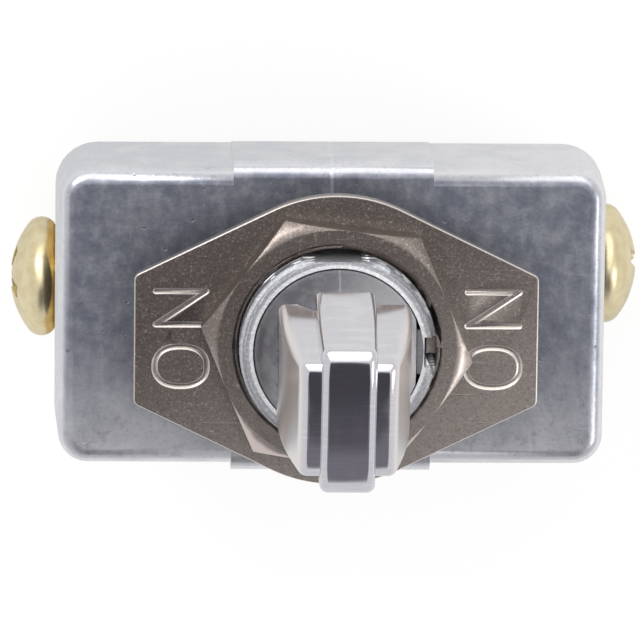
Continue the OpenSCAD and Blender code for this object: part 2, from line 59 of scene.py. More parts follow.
# %% [markdown]
# ## Sizes shared by several pieces
# The frame says where each piece is, so lengths are measured from it where they can be.
# The few sizes that a box can't give, such as the thread's pitch, are named here once,
# in millimetres.

# %% Name the sizes
thread_r = 5.953            # crest of the 15/32 inch thread
thread_pitch = 25.4 / 32    # 32 threads to the inch
groove_r = 0.34             # circumradius of the 60 degree V that cuts the thread
lip_r = 5.2                 # opening of the bushing's rolled lip
bush_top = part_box("housing")[1].z / MM
nut_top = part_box("face_nut")[1].z / MM
plate_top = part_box("face_plate")[1].z / MM
base_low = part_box("base")[0].z / MM

throw = frame["joints"][0]
pivot = Vector(throw["pos_m"]) / MM
lean = math.radians(throw["range_deg"][1] / 2)
ball_r = 5.25
bat_shift = 0.3             # the bat stands a little toward the keyway
print(f"bushing top {bush_top:.2f} mm, pivot at {pivot.z:.2f} mm")
print(f"the lever leans {math.degrees(lean):.1f} degrees")

# %% [markdown]
# ## Shader maths as plain arithmetic
# A node tree is easier to read when its sums look like sums. One small class wraps a
# socket, so that `1 - mask * 0.5` adds its own Math nodes, and one method makes every
# other kind of node.

# %% A socket that can be added and multiplied
class Wire:
    def __init__(self, finish, socket):
        self.finish = finish
        self.socket = socket

    def math(self, operation, first, second):
        return self.finish.make("ShaderNodeMath", {"operation": operation}, {0: first, 1: second})

    def __add__(self, other): return self.math("ADD", self, other)
    def __radd__(self, other): return self.math("ADD", other, self)
    def __sub__(self, other): return self.math("SUBTRACT", self, other)
    def __rsub__(self, other): return self.math("SUBTRACT", other, self)
    def __mul__(self, other): return self.math("MULTIPLY", self, other)
    def __rmul__(self, other): return self.math("MULTIPLY", other, self)

    def __abs__(self):
        return self.finish.make("ShaderNodeMath", {"operation": "ABSOLUTE"}, {0: self})


# %% A finish and the one method that makes its nodes
class Finish:
    def __init__(self, name, tree=None):
        if tree is None:
            self.material = bpy.data.materials.new(name)
            self.material.use_nodes = True
            tree = self.material.node_tree
            self.shader = tree.nodes["Principled BSDF"]
        self.tree = tree

    def make(self, kind, settings=None, values=None, output=0):
        """Adds a node: its settings come first, then the values or links of its sockets."""
        node = self.tree.nodes.new(kind)
        for key, value in (settings or {}).items():
            setattr(node, key, value)
        for key, value in (values or {}).items():
            self.set(node.inputs[key], value)
        return Wire(self, node.outputs[output])

    def set(self, socket, value):
        if isinstance(value, Wire):
            self.tree.links.new(value.socket, socket)
        else:
            socket.default_value = value

    def coords(self):
        """Object coordinates in millimetres."""
        place = self.make("ShaderNodeTexCoord", output="Object")
        return self.make("ShaderNodeVectorMath", {"operation": "SCALE"}, {
            0: place, "Scale": 1 / MM})

    def axes(self, place):
        split = self.make("ShaderNodeSeparateXYZ", values={0: place}).socket.node
        return [Wire(self, split.outputs[axis]) for axis in "XYZ"]

    def radius(self, place):
        """Distance from the bushing's axis."""
        flat = self.stretch(place, (1, 1, 0))
        return self.make("ShaderNodeVectorMath", {"operation": "LENGTH"}, {0: flat}, output="Value")

    def stretch(self, place, scale):
        return self.make("ShaderNodeVectorMath", {"operation": "MULTIPLY"}, {0: place, 1: scale})

    def noise(self, place, per_mm, detail=4.0, rough=0.55):
        return self.make("ShaderNodeTexNoise", values={
            "Vector": place, "Scale": per_mm, "Detail": detail, "Roughness": rough})

    def step(self, value, low, high, to_low=0.0, to_high=1.0):
        """A smooth step; low above high makes it fall instead of rise."""
        return self.make("ShaderNodeMapRange", {"interpolation_type": "SMOOTHSTEP"}, {
            "Value": value, "From Min": low, "From Max": high, "To Min": to_low, "To Max": to_high})

    def blend(self, mask, first, second):
        """Mixes two colours, whose sockets are numbers 6 and 7 of a Mix node."""
        return self.make("ShaderNodeMix", {"data_type": "RGBA"}, {
            0: mask, 6: first, 7: second}, output=2)

    def bump(self, height, strength, distance):
        return self.make("ShaderNodeBump", values={
            "Strength": strength, "Distance": distance * MM, "Height": height})

    def surface(self, **values):
        for key, value in values.items():
            self.set(self.shader.inputs[key.replace("_", " ")], value)
        return self.material


def shade(red, green, blue):
    return (red, green, blue, 1.0)


print("finish helpers ready")

# %% [markdown]
# ## Zinc die casting
# The housing is bare zinc straight from the die. Its walls rubbed along the die as it
# was pushed out, so they are light and smooth, with painted light that makes them paler
# toward +X, while its face kept the darker, bluish skin of the chilled metal, painted
# paler toward -Y as light falls on it, with a painted highlight along its upper fillet.
# A coarse noise makes the clouds, a middle one the mottle and a fine one the pebble.
# Another, cut off high, leaves only rare dark pits, and a stretched one draws a few
# hair scratches. The bushing's rim was rolled in by a spinning tool, so a noise that
# knows only the distance from the axis rings it, and its nicks are bare and bright,
# while the lip's inner edge gets a painted highlight.

# %% Mix the zinc finish
def zinc_finish():
    zinc = Finish("zinc_casting")
    place = zinc.coords()
    x, y, z = zinc.axes(place)
    out = zinc.radius(place)

    # Noises, from coarse to fine
    clouds = zinc.noise(zinc.stretch(place, (0.9, 1.3, 1.0)), 0.40, 5, 0.62)
    mottle = zinc.noise(zinc.stretch(place, (1.3, 0.9, 1.0)), 0.95, 5, 0.66)
    grain = zinc.noise(place, 3.4, 3, 0.6)
    pits = zinc.step(zinc.noise(place, 1.7, 2, 0.4), 0.72, 0.78)
    hair = zinc.step(zinc.noise(zinc.stretch(place, (6.0, 0.5, 1.0)), 0.9, 2), 0.70, 0.78)
    nicks = zinc.step(zinc.noise(place, 5.5, 2), 0.50, 0.62)
    wobbling = zinc.noise(zinc.stretch(place, (0.2, 0.2, 0.2)), 1.0, 2) * 0.6 + out
    rings = zinc.make("ShaderNodeTexNoise", {"noise_dimensions": "1D"}, {
        "W": wobbling, "Scale": 7.0, "Detail": 3.0})

    # Places: the parting seam, the face's skin, its fillet, a painted highlight on the
    # fillet's upper side, a painted paler end of the face toward -Y, the rim, and a painted
    # highlight on its lip
    seam = zinc.step(abs(x + 0.1), 0.16, 0.05) * zinc.step(y, 7.0, 7.4) * zinc.step(z, 1.0, 0.6)
    skin = zinc.step(z, -0.40, -0.06) * zinc.step(z, 1.4, 0.6)
    edge = zinc.step(z, -1.1, -0.8) * zinc.step(z, 0.0, -0.15)
    painted_fillet_highlight = zinc.step(z, -0.50, -0.30) * zinc.step(z, -0.03, -0.12) * zinc.step(y, -2.0, 8.0)
    painted_light_low_end = zinc.step(y + clouds * 7.0, 3.5, -7.0)
    rim = zinc.step(z, bush_top - 0.9, bush_top - 0.5)
    painted_lip_highlight = zinc.step(out, lip_r + 0.20, lip_r + 0.10)

    # Colours of the walls, then of the face, then of both together
    # The clouds vary the walls' tone, and the x term paints them lighter toward +X: painted light.
    wall_clouds_and_painted_light = zinc.step(clouds + x * 0.008, 0.30, 0.70)
    wall = zinc.blend(wall_clouds_and_painted_light, shade(0.68, 0.69, 0.72), shade(0.80, 0.80, 0.82))
    wall = zinc.blend(zinc.step(z, 8.6, 9.4) * 0.6, wall, shade(0.36, 0.36, 0.39))
    face_share = zinc.step(clouds, 0.36, 0.66)
    face = zinc.blend(face_share, shade(0.18, 0.19, 0.235), shade(0.27, 0.28, 0.32))
    # Painted light: the face is paler toward -Y.
    face = zinc.blend(painted_light_low_end, face, shade(0.52, 0.52, 0.54))
    face = zinc.blend(zinc.step(mottle, 0.44, 0.70) * 0.34, face, shade(0.50, 0.51, 0.55))
    face = zinc.blend(zinc.step(mottle, 0.48, 0.28) * 0.34, face, shade(0.10, 0.10, 0.13))
    tone = zinc.blend(skin, wall, face)
    # Painted highlight along the face's upper fillet.
    tone = zinc.blend(painted_fillet_highlight * 0.45, tone, shade(0.90, 0.90, 0.93))
    pebble = zinc.step(grain, 0.30, 0.50, 0.30, 0.0) * (skin * 0.7 + 0.3)
    tone = zinc.blend(pebble, tone, shade(0.28, 0.29, 0.33))
    tone = zinc.blend(pits * (skin * 0.6 + 0.15), tone, shade(0.14, 0.14, 0.15))
    tone = zinc.blend(seam * 0.25 + hair * 0.25, tone, shade(0.85, 0.86, 0.88))
    tone = zinc.blend(rim * zinc.step(rings, 0.62, 0.40) * 0.55, tone, shade(0.26, 0.27, 0.29))
    # The rim's nicks are bare metal, and the lip's inner edge gets a painted highlight.
    tone = zinc.blend(rim * (painted_lip_highlight * 0.7 + nicks * 0.25), tone, shade(0.95, 0.95, 0.96))

    rough = zinc.step(clouds, 0.3, 0.7, 0.44, 0.36) + grain * 0.10 - edge * 0.19 + rim * 0.10
    height = grain * (0.5 + rim) + mottle * 0.5 - pits * 1.2 + seam * 0.6
    return zinc.surface(Base_Color=tone, Metallic=1.0, Roughness=rough,
                        Normal=zinc.bump(height, 0.35, 0.06))


zinc_casting = zinc_finish()
print("zinc nodes:", len(zinc_casting.node_tree.nodes))

# %% [markdown]
# ## Chrome on the lever, satin on its ball
# The bat is polished and chromed, so it needs almost nothing but a very smooth metal.
# Its two flanks are less polished, so they mirror the ball only as a blur, and a painted
# reflection of the nickel tints them beige. The ball wears against the bushing and stays
# a dull grey, with a faint line left by its mould; it is painted dark toward -X and +Y and
# light toward +X and -Y as light falls on it.
# One material does it all: the distance from the pivot tells ball from bat, and the
# distance from the bat's tapering sides tells flank from edge.

# %% Mix the lever's finish
def lever_finish():
    chrome = Finish("lever_chrome")
    place = chrome.coords()
    x, y, z = chrome.axes(place)
    haze = chrome.noise(chrome.stretch(place, (2.5, 0.6, 0.6)), 0.8, 4)
    grain = chrome.noise(place, 5.0, 3)

    # Places: the ball, and the flanks of the bat
    from_pivot = chrome.make("ShaderNodeVectorMath", {"operation": "DISTANCE"}, {
        0: place, 1: tuple(pivot)}, output="Value")
    ball = chrome.step(from_pivot, ball_r + 0.05, ball_r + 0.01)
    along = y * -math.sin(lean) + (z - pivot.z) * math.cos(lean)
    flank_side = chrome.step(abs(x - bat_shift) + along * 0.120, 3.75, 4.15)

    # The bat's chrome
    plated = chrome.blend(haze, shade(0.62, 0.61, 0.64), shade(0.70, 0.69, 0.72))
    streaks = chrome.noise(chrome.stretch(place, (0.4, 5.0, 1.0)), 1.2, 3)
    streaks = chrome.step(streaks, 0.45, 0.75)
    plated = chrome.blend(streaks * 0.25, plated, shade(0.95, 0.94, 0.96))
    # Painted reflection: the flanks get a beige tint from the nickel around them.
    plated = chrome.blend(flank_side * 0.8, plated, shade(0.80, 0.76, 0.74))

    # The ball's worn metal, painted dark toward -X and +Y and light toward +X and -Y
    side = chrome.step(x - y * 0.6 + grain * 2.0, -4.5, 5.0)
    stain = chrome.step(chrome.noise(place, 0.9, 3, 0.6), 0.42, 0.60)
    wear_and_painted_shade = chrome.blend(side, shade(0.14, 0.135, 0.15), shade(0.54, 0.54, 0.56))
    wear_and_painted_shade = chrome.blend(stain * 0.18, wear_and_painted_shade, shade(0.42, 0.42, 0.43))
    seam = chrome.step(abs(x), 0.08, 0.03) * chrome.step(y, 2.0, 3.0)
    wear_and_painted_shade = chrome.blend(seam * 0.35, wear_and_painted_shade, shade(0.60, 0.60, 0.62))

    rough = chrome.blend(haze, shade(0.07, 0.07, 0.07), shade(0.13, 0.13, 0.13))
    rough = chrome.blend(flank_side, rough, shade(0.26, 0.26, 0.26))
    rough = chrome.blend(ball, rough, shade(0.42, 0.42, 0.42))
    return chrome.surface(Base_Color=chrome.blend(ball, plated, wear_and_painted_shade), Metallic=1.0,
                          Roughness=rough, Normal=chrome.bump(grain * ball, 0.15, 0.03))


lever_chrome = lever_finish()
print("lever nodes:", len(lever_chrome.node_tree.nodes))

# %% [markdown]
# ## Nickel plate
# The plate, the nuts and the washer are plated in nickel that has dulled to a brown
# grey, with painted shade that darkens it toward +Y and -X. Pressed sheet shows faint
# cloudy stains and short hair scratches, which are a noise squeezed hard along one
# direction. A painted highlight lies in a thin band of height just under the plate's
# face: it falls on the rolled edge and on both walls of each stamped stroke. Another
# painted highlight lies on the nut's chamfered corners, stronger toward -Y.

# %% Mix the nickel finish
def nickel_finish():
    nickel = Finish("nickel_plate")
    place = nickel.coords()
    x, y, z = nickel.axes(place)
    clouds = nickel.noise(place, 0.35, 5, 0.55)
    speck = nickel.noise(place, 4.5, 3, 0.6)
    fine = nickel.noise(place, 9.0, 2, 0.7)
    hair = nickel.noise(nickel.stretch(place, (0.35, 7.0, 1.0)), 1.1, 2)
    hair = nickel.step(hair, 0.60, 0.72)

    # Places: the side in painted shade, the band of painted highlight under the face, and the
    # painted highlight on the nut's corners
    painted_shade_slope = nickel.step(y * 0.8 - x * 0.30 + clouds * 4.0, -8.0, 7.0)
    band_low = nickel.step(z, plate_top - 0.13, plate_top - 0.10)
    painted_edge_highlight = band_low * nickel.step(z, plate_top, plate_top - 0.02)
    corner = nickel.step(nickel.radius(place), 6.9, 7.2)
    corner = corner * nickel.step(z, nut_top - 0.8, nut_top - 0.5)
    corner = corner * nickel.step(z, nut_top, nut_top - 0.02)
    corner = corner * nickel.step(y, 1.5, -6.0, 0.04, 0.75)

    # Painted shade: darker toward +Y and -X.
    tone = nickel.blend(painted_shade_slope, shade(0.52, 0.465, 0.42), shade(0.18, 0.150, 0.135))
    tone = nickel.blend(nickel.step(speck, 0.60, 0.72) * 0.25, tone, shade(0.80, 0.76, 0.72))
    tone = nickel.blend(nickel.step(fine, 0.50, 0.72) * 0.30, tone, shade(0.62, 0.58, 0.54))
    tone = nickel.blend(nickel.step(fine, 0.50, 0.30) * 0.35, tone, shade(0.10, 0.085, 0.08))
    # Painted highlight on the rolled edge and on the stamped strokes' walls.
    tone = nickel.blend(painted_edge_highlight * 0.65, tone, shade(0.88, 0.82, 0.78))
    # Painted highlight on the nut's chamfered corners, stronger toward -Y.
    tone = nickel.blend(corner, tone, shade(0.80, 0.70, 0.65))
    height = speck * 0.4 + fine * 0.3 + clouds * 0.6 + hair * 0.3
    return nickel.surface(Base_Color=tone, Metallic=1.0,
                          Roughness=clouds * 0.08 + speck * 0.08 + 0.24,
                          Normal=nickel.bump(height, 0.2, 0.03))


nickel_plate = nickel_finish()
print("nickel nodes:", len(nickel_plate.node_tree.nodes))

# %% [markdown]
# ## The plain metals
# Brass screws, copper strip, silver buttons and steel are one recipe with different
# numbers: two tones that a noise mixes, a little grain in the roughness, and a bump too
# small to see as a shape.

# %% Mix brass, copper, silver and steel
def plain_metal(name, dark, light, rough):
    metal = Finish(name)
    place = metal.coords()
    clouds = metal.noise(place, 1.2, 4)
    grain = metal.noise(place, 7.2, 3)
    tone = metal.blend(metal.step(clouds, 0.3, 0.7), shade(*dark), shade(*light))
    return metal.surface(Base_Color=tone, Metallic=1.0, Roughness=grain * 0.14 + (rough - 0.05),
                         Normal=metal.bump(grain, 0.2, 0.02))


screw_brass = plain_metal("screw_brass", (0.72, 0.61, 0.37), (0.82, 0.73, 0.48), 0.30)
terminal_brass = plain_metal("terminal_brass", (0.62, 0.45, 0.20), (0.78, 0.62, 0.32), 0.30)
rocker_copper = plain_metal("rocker_copper", (0.66, 0.33, 0.20), (0.80, 0.47, 0.30), 0.28)
contact_silver = plain_metal("contact_silver", (0.72, 0.72, 0.70), (0.90, 0.89, 0.86), 0.25)
plated_steel = plain_metal("plated_steel", (0.48, 0.48, 0.49), (0.66, 0.66, 0.67), 0.30)
print("plain metals ready")

# %% [markdown]
# ## Phenolic and fibre
# The base is pressed from black phenolic powder, which leaves a satin skin with faint
# brown flecks. The insulator is vulcanised fibre, red-brown and slightly furry.

# %% Mix the moulded finishes
def moulded(name, dark, light, rough, flecks_per_mm, relief):
    skin = Finish(name)
    place = skin.coords()
    clouds = skin.noise(place, 0.5, 4)
    flecks = skin.step(skin.noise(place, flecks_per_mm, 3), 0.56, 0.70)
    tone = skin.blend(flecks, shade(*dark), shade(*light))
    return skin.surface(Base_Color=tone, Roughness=clouds * 0.2 + (rough - 0.1),
                        Normal=skin.bump(skin.noise(place, 5.0, 3), 0.25, relief))


phenolic = moulded("phenolic", (0.030, 0.026, 0.024), (0.060, 0.048, 0.040), 0.42, 2.2, 0.03)
red_fibre = moulded("red_fibre", (0.30, 0.10, 0.06), (0.40, 0.17, 0.10), 0.60, 3.0, 0.05)
print("moulded finishes ready")

# %% [markdown]
# ## Softened edges
# No real edge is perfectly sharp, and a sharp one gives no highlight. Each CAD node is
# copied, its loose triangles are merged, and a narrow bevel runs along its hard edges.
# Weighted normals then keep the large faces flat while the bevels shade round.

# %% Helpers that copy, soften and seat a piece
merge_distance = 1e-7       # in metres: points closer than this are one point
flat_angle = math.radians(0.4)
bevel_angle = math.radians(32)
sharp_angle = math.radians(48)


def as_mesh(piece):
    """Turns the modifiers of a piece into plain mesh."""
    ready = piece.evaluated_get(bpy.context.evaluated_depsgraph_get())
    shape = bpy.data.meshes.new_from_object(ready)
    piece.modifiers.clear()
    piece.data = shape
    return piece


def new_piece(name, shape):
    piece = bpy.data.objects.new(name, shape)
    bpy.context.scene.collection.objects.link(piece)
    return piece


def piece_from(form, name):
    """Makes a piece of a bmesh and frees the bmesh."""
    shape = bpy.data.meshes.new(name)
    form.to_mesh(shape)
    form.free()
    return new_piece(name, shape)


def merged_copy(node, name):
    form = bmesh.new()
    form.from_mesh(frame["nodes"][node].data)
    bmesh.ops.remove_doubles(form, verts=form.verts, dist=merge_distance)
    bmesh.ops.dissolve_limit(form, angle_limit=flat_angle, verts=form.verts, edges=form.edges)
    return piece_from(form, name)


def soften(piece, width, steps=2):
    """Bevels hard edges by a width in millimetres and shades the rest smooth."""
    if width:
        bevel = piece.modifiers.new("edge", "BEVEL")
        bevel.width = width * MM
        bevel.segments = steps
        bevel.limit_method = "ANGLE"
        bevel.angle_limit = bevel_angle
        bevel.miter_outer = "MITER_ARC"
        as_mesh(piece)
    piece.data.shade_smooth()
    piece.data.set_sharp_from_angle(angle=sharp_angle)
    weigh = piece.modifiers.new("weigh", "WEIGHTED_NORMAL")
    weigh.keep_sharp = True
    return as_mesh(piece)


def seat(piece, body, material, slot, *nodes):
    """Gives a piece its finish and its body, and hides the CAD nodes that it stands for."""
    piece.data.materials.clear()
    piece.data.materials.append(material)
    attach(piece, body)
    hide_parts(*nodes)
    return piece


def carve(piece, cutter, operation="DIFFERENCE"):
    """Cuts one closed shape out of another, or joins it on, and deletes the cutter."""
    cut = piece.modifiers.new("cut", "BOOLEAN")
    cut.operation = operation
    cut.solver = "EXACT"
    cut.object = cutter
    as_mesh(piece)
    bpy.data.objects.remove(cutter)
    return piece


def size_of(piece):
    """Lowest and highest corner of a piece, in millimetres."""
    corners = piece.bound_box[0], piece.bound_box[6]
    return [[round(c / MM, 2) for c in corner] for corner in corners]


print("piece helpers ready")

# %% [markdown]
# ## One tree for everything wound on a helix
# A screw thread and a coil spring are the same figure: a small profile carried along a
# helix. A Geometry Nodes tree draws a spiral whose start and end radius agree, and
# sweeps a regular polygon along it. Three sides give the 60 degree V of a thread, and
# ten give round wire.

# %% A helper that starts a tree
def new_tree(name, inputs):
    """A Geometry Nodes tree with named inputs, those inputs, and a method that adds nodes."""
    tree = bpy.data.node_groups.new(name, "GeometryNodeTree")
    for title, kind in inputs.items():
        tree.interface.new_socket(title, in_out="INPUT", socket_type="NodeSocket" + kind)
    tree.interface.new_socket("Geometry", in_out="OUTPUT", socket_type="NodeSocketGeometry")

    def add(kind, values, **settings):
        node = tree.nodes.new(kind)
        for key, value in settings.items():
            setattr(node, key, value)
        for key, value in values.items():
            if isinstance(value, (int, float)):
                node.inputs[key].default_value = value
            else:
                tree.links.new(value, node.inputs[key])
        return node

    return tree, tree.nodes.new("NodeGroupInput").outputs, add


print("tree helper ready")

# %% Build the helix tree
def helix_tree():
    tree, given, add = new_tree("helix", {
        "Radius": "Float", "Height": "Float", "Turns": "Float", "Steps": "Int",
        "Profile Radius": "Float", "Profile Sides": "Int", "Profile Turn": "Float",
        "Finish": "Material"})
    spiral = add("GeometryNodeCurveSpiral", {
        "Resolution": given["Steps"], "Rotations": given["Turns"],
        "Start Radius": given["Radius"], "End Radius": given["Radius"],
        "Height": given["Height"]})
    upright = add("GeometryNodeSetCurveNormal", {"Curve": spiral.outputs["Curve"]}, mode="Z_UP")
    circle = add("GeometryNodeCurvePrimitiveCircle", {
        "Resolution": given["Profile Sides"], "Radius": given["Profile Radius"]})
    turn = add("ShaderNodeCombineXYZ", {"Z": given["Profile Turn"]})
    profile = add("GeometryNodeTransform", {
        "Geometry": circle.outputs["Curve"], "Rotation": turn.outputs[0]})
    sweep = add("GeometryNodeCurveToMesh", {
        "Curve": upright.outputs["Curve"], "Profile Curve": profile.outputs["Geometry"],
        "Fill Caps": True})
    real = add("GeometryNodeRealizeInstances", {"Geometry": sweep.outputs["Mesh"]})
    coated = add("GeometryNodeSetMaterial", {
        "Geometry": real.outputs[0], "Material": given["Finish"]})
    add("NodeGroupOutput", {"Geometry": coated.outputs["Geometry"]})
    return tree


helix = helix_tree()


def grow(name, tree, values):
    """Runs a Geometry Nodes tree with named inputs and returns its mesh as a new piece."""
    holder = new_piece(name, bpy.data.meshes.new(name))
    nodes = holder.modifiers.new("grow", "NODES")
    nodes.node_group = tree
    for item in tree.interface.items_tree:
        if item.item_type == "SOCKET" and item.in_out == "INPUT" and item.name in values:
            nodes[item.identifier] = values[item.name]
    return as_mesh(holder)


def wind(name, radius, low, high, turns, profile_r, sides, turn=0.0, steps=64, finish=None):
    """A helix from height low to high; every length in millimetres."""
    coil = grow(name, helix, {
        "Radius": radius * MM, "Height": (high - low) * MM, "Turns": float(turns),
        "Steps": steps, "Profile Radius": profile_r * MM, "Profile Sides": sides,
        "Profile Turn": turn, "Finish": finish})
    coil.data.transform(Matrix.Translation((0, 0, low * MM)))
    return coil


trial = wind("trial", 5.0, 0, 2, 2, 0.3, 3)
reach = [math.hypot(v.co.x, v.co.y) / MM for v in trial.data.vertices]
print(f"a 3-sided profile on a 5 mm helix reaches from {min(reach):.2f} to {max(reach):.2f} mm")
bpy.data.objects.remove(trial)

# %% [markdown]
# ## The housing and its thread
# The bushing's thread runs from near the housing to the rim. Cutting a V-shaped helix out
# of the plain cylinder leaves real thread flanks that catch the light, also where the
# flats and the keyway interrupt them, as on the real casting.

# %% Cut the thread
crest_gap = 0.06            # from the thread's crest to the flat back of the V
groove_low, groove_high = 0.9, bush_top + thread_pitch
housing = merged_copy("housing", "cast_housing")
vee = wind("thread_vee", thread_r + crest_gap - groove_r / 2, groove_low, groove_high,
           (groove_high - groove_low) / thread_pitch, groove_r, 3, math.pi)
before = len(housing.data.polygons)
carve(housing, vee)
print("housing faces before and after the thread:", before, len(housing.data.polygons))
soften(housing, 0)
seat(housing, "case", zinc_casting, "zinc", "housing")

# %% [markdown]
# ## The lever's bat
# The bat is a broad blade with a narrower rib standing proud of it on both sides. Both
# are the same kind of body: a tapered slab that closes in a rounded nose. It is built
# as a row of side views, set side by side across its width, because polished chrome
# shows each ripple, and this way the sides stay smooth and every edge is evenly round.
# The ball is a sphere with one flat, and a hollow round stem hangs below it.

# %% Helpers for the lever's bodies
def join_rings(form, rings):
    """Joins each ring of points to the next, all the way round."""
    count = len(rings[0])
    for near, other in zip(rings, rings[1:]):
        for i in range(count):
            j = (i + 1) % count
            form.faces.new((near[i], near[j], other[j], other[i]))


def blade(name, root, tip, top, nose, edge, bulge):
    """A tapered body whose nose is a superellipse; root and tip are (half width, half thickness).

    Rings of its side view are set side by side across the width. The outer rings are
    smaller, which rounds every edge evenly, and pairs of points close the two flanks.
    """
    taper_steps, nose_steps, edge_steps = 8, 24, 6

    def side_view(inset):
        outline = []
        for step in range(taper_steps + 1):
            part = step / taper_steps
            outline.append((root[1] + (tip[1] - root[1]) * part - inset,
                            root_s + (top - nose - root_s) * part))
        for step in range(1, nose_steps + 1):
            turn = math.radians(90 * step / nose_steps)
            across = max(math.cos(turn), 0) ** (2 / nose_power)
            along = math.sin(turn) ** (2 / nose_power)
            outline.append(((tip[1] - inset) * across, top - nose + (nose - inset) * along))
        return outline + [(-y, s) for y, s in reversed(outline[:-1])]

    def half_width(s):
        part = min(1, (s - root_s) / (top - root_s))
        return root[0] + (tip[0] - root[0]) * part + bulge * math.sin(math.pi * part)

    turns = [math.radians(90 * step / edge_steps) for step in range(edge_steps + 1)]
    sides = [(-1, turn) for turn in turns] + [(1, turn) for turn in reversed(turns)]
    form = bmesh.new()
    rings = []
    for sign, turn in sides:
        inward = edge * (1 - math.cos(turn))
        rings.append([form.verts.new((sign * (half_width(s) - inward) * MM, y * MM, s * MM))
                      for y, s in side_view(edge * (1 - math.sin(turn)))])
    join_rings(form, rings)
    count = len(rings[0])
    middle = count // 2
    for ring in (rings[0], rings[-1]):
        for i in range(middle - 1):
            form.faces.new((ring[i], ring[i + 1], ring[count - 2 - i], ring[count - 1 - i]))
        form.faces.new((ring[middle - 1], ring[middle], ring[middle + 1]))
    bmesh.ops.recalc_face_normals(form, faces=form.faces)
    return piece_from(form, name)


def turned(name, radius, low, high, sides=64):
    """A plain round bar from height low to high."""
    form = bmesh.new()
    turns = [2 * math.pi * i / sides for i in range(sides)]
    rings = [[form.verts.new((radius * math.cos(turn) * MM, radius * math.sin(turn) * MM,
                              height * MM)) for turn in turns] for height in (low, high)]
    join_rings(form, rings)
    form.faces.new(list(reversed(rings[0])))
    form.faces.new(rings[1])
    bmesh.ops.recalc_face_normals(form, faces=form.faces)
    return piece_from(form, name)


def round_ball(name, radius):
    form = bmesh.new()
    bmesh.ops.create_uvsphere(form, u_segments=160, v_segments=80, radius=radius * MM)
    return piece_from(form, name)


def keep_above(piece, point, normal):
    """Trims a closed body to the side of a plane that the normal points to."""
    form = bmesh.new()
    form.from_mesh(piece.data)
    everything = list(form.verts) + list(form.edges) + list(form.faces)
    bmesh.ops.bisect_plane(form, geom=everything, plane_co=Vector(point) * MM,
                           plane_no=Vector(normal), clear_inner=True, dist=1e-8)
    rim = [edge for edge in form.edges if edge.is_boundary]
    bmesh.ops.holes_fill(form, edges=rim, sides=0)
    bmesh.ops.recalc_face_normals(form, faces=form.faces)
    form.to_mesh(piece.data)
    form.free()
    return piece


print("body helpers ready")

# %% Make the bat, the ball and the stem
bat_top, root_s, nose_power = 11.2, 1.2, 3.6
flank_drop = 0.45           # the blade ends this far below the rib
rim_clear = bush_top - pivot.z + 0.15
ball_key_x = 4.633          # the ball is flat where the keyway bulges into the bushing
stem_r, stem_low, hollow_r, hollow_top = 2.7, -13.5, 1.8, -4.0

flank = blade("flank", root=(3.95, 3.97), tip=(2.8, 3.7), top=bat_top - flank_drop,
              nose=0.75, edge=0.5, bulge=0.42)
rib = blade("rib", root=(1.85, 4.85), tip=(1.62, 4.68), top=bat_top,
            nose=1.05, edge=0.5, bulge=0.04)
for part in (flank, rib):
    part.data.transform(Matrix.Translation((bat_shift * MM, 0, 0)))
    for side in (-1, 1):
        keep_above(part, (0, 0, rim_clear / math.cos(lean)),
                   (0, side * math.sin(lean), math.cos(lean)))

lever = keep_above(round_ball("toggle_lever", ball_r), (ball_key_x, 0, 0), (-1, 0, 0))
carve(lever, turned("stem", stem_r, stem_low, 0), "UNION")
carve(lever, flank, "UNION")
carve(lever, rib, "UNION")
carve(lever, turned("hollow", hollow_r, stem_low - 1, hollow_top))
soften(lever, 0)
tilt = Matrix.Translation(pivot * MM) @ Matrix.Rotation(lean, 4, "X")
lever.data.transform(tilt)
seat(lever, "lever", lever_chrome, "chrome", "lever")
print("lever faces:", len(lever.data.polygons), "box", size_of(lever))

# %% [markdown]
# ## The face plate and its word
# The plate is blanked from sheet, so its upper edge is rolled over, and ON is stamped
# at each end. A stamped stroke is a shallow trough with sloping walls and round ends:
# the hull of two small cones cuts a straight one, and a ring of the same section cuts
# the O.

# %% Helpers for stamped strokes
stamp_depth, stamp_top_r, stamp_low_r = 0.12, 0.20, 0.11
over = 0.05                 # how far each cutter stands above the plate
over_r = stamp_top_r + over * ((stamp_top_r - stamp_low_r) / stamp_depth)
letter_power = 0.86         # below 1, the O is squarer than an ellipse


def straight_stroke(start, end, sides=16):
    form = bmesh.new()
    for height, radius in ((plate_top - stamp_depth, stamp_low_r), (plate_top + over, over_r)):
        for centre in (start, end):
            for i in range(sides):
                turn = 2 * math.pi * i / sides
                form.verts.new(((centre[0] + radius * math.cos(turn)) * MM,
                                (centre[1] + radius * math.sin(turn)) * MM, height * MM))
    hull = bmesh.ops.convex_hull(form, input=form.verts)
    inside = list(set(hull["geom_interior"] + hull["geom_unused"]))
    bmesh.ops.delete(form, geom=inside, context="VERTS")
    bmesh.ops.recalc_face_normals(form, faces=form.faces)
    return piece_from(form, "stroke")


def ring_stroke(centre, half_w, half_h, steps=72):
    form = bmesh.new()
    section = ((-stamp_low_r, plate_top - stamp_depth), (stamp_low_r, plate_top - stamp_depth),
               (over_r, plate_top + over), (-over_r, plate_top + over))
    rings = []
    for i in range(steps):
        turn = 2 * math.pi * i / steps
        c, s = math.cos(turn), math.sin(turn)
        x = centre[0] + half_w * math.copysign(abs(c) ** letter_power, c)
        y = centre[1] + half_h * math.copysign(abs(s) ** letter_power, s)
        out = Vector((c / half_w, s / half_h)).normalized()
        rings.append([form.verts.new(((x + out.x * side) * MM, (y + out.y * side) * MM,
                                      height * MM)) for side, height in section])
    join_rings(form, rings + rings[:1])
    bmesh.ops.recalc_face_normals(form, faces=form.faces)
    return piece_from(form, "ring")


print("stamp helpers ready")

